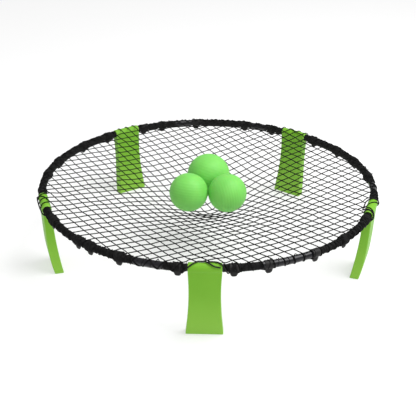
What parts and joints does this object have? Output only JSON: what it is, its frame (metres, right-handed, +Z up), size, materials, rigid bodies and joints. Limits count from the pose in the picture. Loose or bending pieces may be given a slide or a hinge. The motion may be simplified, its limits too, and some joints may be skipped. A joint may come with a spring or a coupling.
{
  "type": "roundnet set",
  "caption": "Lawn-game net stretched over a ring of curved tubes on fold-in legs, hooked all round its border cord, with soft hollow balls lying in its sagging middle.",
  "frame": {"origin": "on the ground, under the middle of the ring", "axes": "+Z up; -Y towards the front leg, +X to the right of it seen from the front"},
  "size_m": [0.9138, 0.9193, 0.2459],
  "materials": {
    "rim_tube": "gloss",
    "joiner": "satin",
    "leg": "satin",
    "net_hook": "matte",
    "net": "matte",
    "border_cord": "matte",
    "ball": "matte",
    "ball_valve": "matte"
  },
  "bodies": {
    "ring": {"rim_tube_1": "rim_tube", "rim_tube_2": "rim_tube", "rim_tube_3": "rim_tube", "rim_tube_4": "rim_tube", "rim_tube_5": "rim_tube", "tube_joiner_1": "joiner", "tube_joiner_2": "joiner", "tube_joiner_3": "joiner", "tube_joiner_4": "joiner", "tube_joiner_5": "joiner", "net_hook_1_1": "net_hook", "net_hook_1_2": "net_hook", "net_hook_1_3": "net_hook", "net_hook_1_4": "net_hook", "net_hook_1_5": "net_hook", "net_hook_2_1": "net_hook", "net_hook_2_2": "net_hook", "net_hook_2_3": "net_hook", "net_hook_2_4": "net_hook", "net_hook_2_5": "net_hook", "net_hook_3_1": "net_hook", "net_hook_3_2": "net_hook", "net_hook_3_3": "net_hook", "net_hook_3_4": "net_hook", "net_hook_3_5": "net_hook", "net_hook_4_1": "net_hook", "net_hook_4_2": "net_hook", "net_hook_4_3": "net_hook", "net_hook_4_4": "net_hook", "net_hook_4_5": "net_hook", "net_hook_5_1": "net_hook", "net_hook_5_2": "net_hook", "net_hook_5_3": "net_hook", "net_hook_5_4": "net_hook", "net_hook_5_5": "net_hook", "net": "net", "border_cord": "border_cord"},
    "leg_1": {"leg_1": "leg"},
    "leg_2": {"leg_2": "leg"},
    "leg_3": {"leg_3": "leg"},
    "leg_4": {"leg_4": "leg"},
    "leg_5": {"leg_5": "leg"},
    "ball_1": {"ball_1": "ball", "ball_valve_1": "ball_valve"},
    "ball_2": {"ball_2": "ball", "ball_valve_2": "ball_valve"},
    "ball_3": {"ball_3": "ball", "ball_valve_3": "ball_valve"}
  },
  "joints": [
    {"name": "leg_fold_1", "type": "hinge", "parent": "ring", "child": "leg_1", "pos_m": [0, -0.4441, 0.19], "axis": [1, 0, 0], "range_deg": [0, 60]},
    {"name": "leg_fold_2", "type": "hinge", "parent": "ring", "child": "leg_2", "pos_m": [0.42236, -0.13723, 0.19], "axis": [0.309, 0.9511, 0], "range_deg": [0, 60]},
    {"name": "leg_fold_3", "type": "hinge", "parent": "ring", "child": "leg_3", "pos_m": [0.26104, 0.35928, 0.19], "axis": [-0.809, 0.5878, 0], "range_deg": [0, 60]},
    {"name": "leg_fold_4", "type": "hinge", "parent": "ring", "child": "leg_4", "pos_m": [-0.26104, 0.35928, 0.19], "axis": [-0.809, -0.5878, 0], "range_deg": [0, 60]},
    {"name": "leg_fold_5", "type": "hinge", "parent": "ring", "child": "leg_5", "pos_m": [-0.42236, -0.13723, 0.19], "axis": [0.309, -0.9511, 0], "range_deg": [0, 60]},
    {"name": "ball_lift_1", "type": "slide", "parent": "ring", "child": "ball_1", "axis": [0, 0, 1], "range_m": [0, 0.25]},
    {"name": "ball_lift_2", "type": "slide", "parent": "ring", "child": "ball_2", "axis": [0, 0, 1], "range_m": [0, 0.25]},
    {"name": "ball_lift_3", "type": "slide", "parent": "ring", "child": "ball_3", "axis": [0, 0, 1], "range_m": [0, 0.25]}
  ]
}
